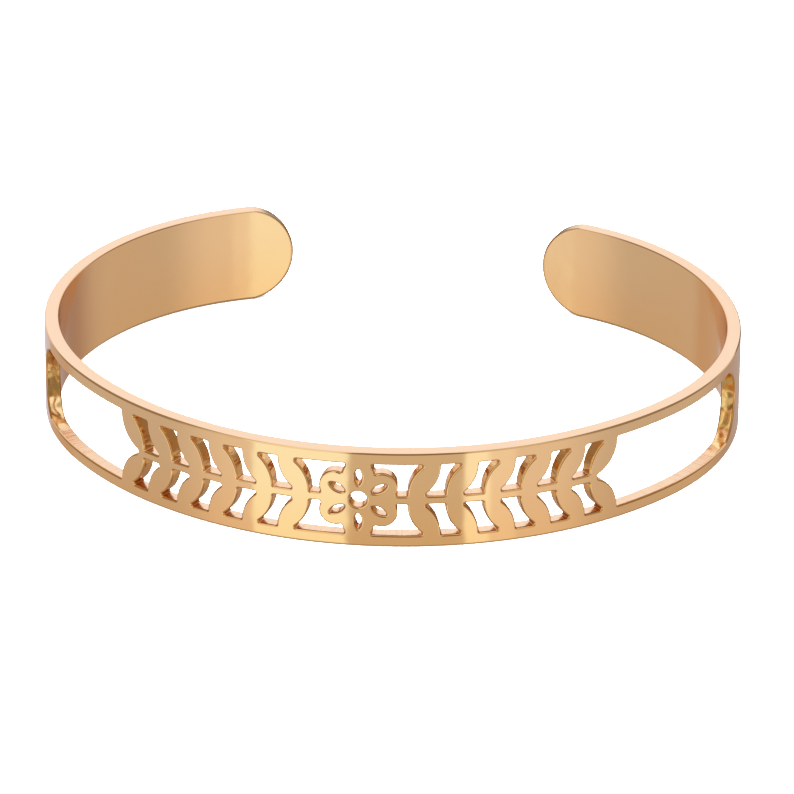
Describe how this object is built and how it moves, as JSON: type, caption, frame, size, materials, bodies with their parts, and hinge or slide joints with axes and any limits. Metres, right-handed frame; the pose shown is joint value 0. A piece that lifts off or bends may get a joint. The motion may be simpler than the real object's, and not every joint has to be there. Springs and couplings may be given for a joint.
{
  "type": "pierced cuff bracelet",
  "caption": "Open oval cuff bracelet of one bent metal strip, with round arm tips, a long window in each side and a leafy pierced front panel between two rails.",
  "frame": {"origin": "on the surface that the lower edge rests on, below the middle of the outline", "axes": "+Z along the wrist, up; -Y towards the pierced front panel; +Y towards the open back; +X to the right of someone who looks at the front"},
  "size_m": [0.062, 0.0504, 0.009],
  "materials": {
    "cuff_metal": "polished rose-gold plating, soft tumbled edges"
  },
  "bodies": {
    "root": {"cuff": "cuff_metal"}
  },
  "joints": []
}
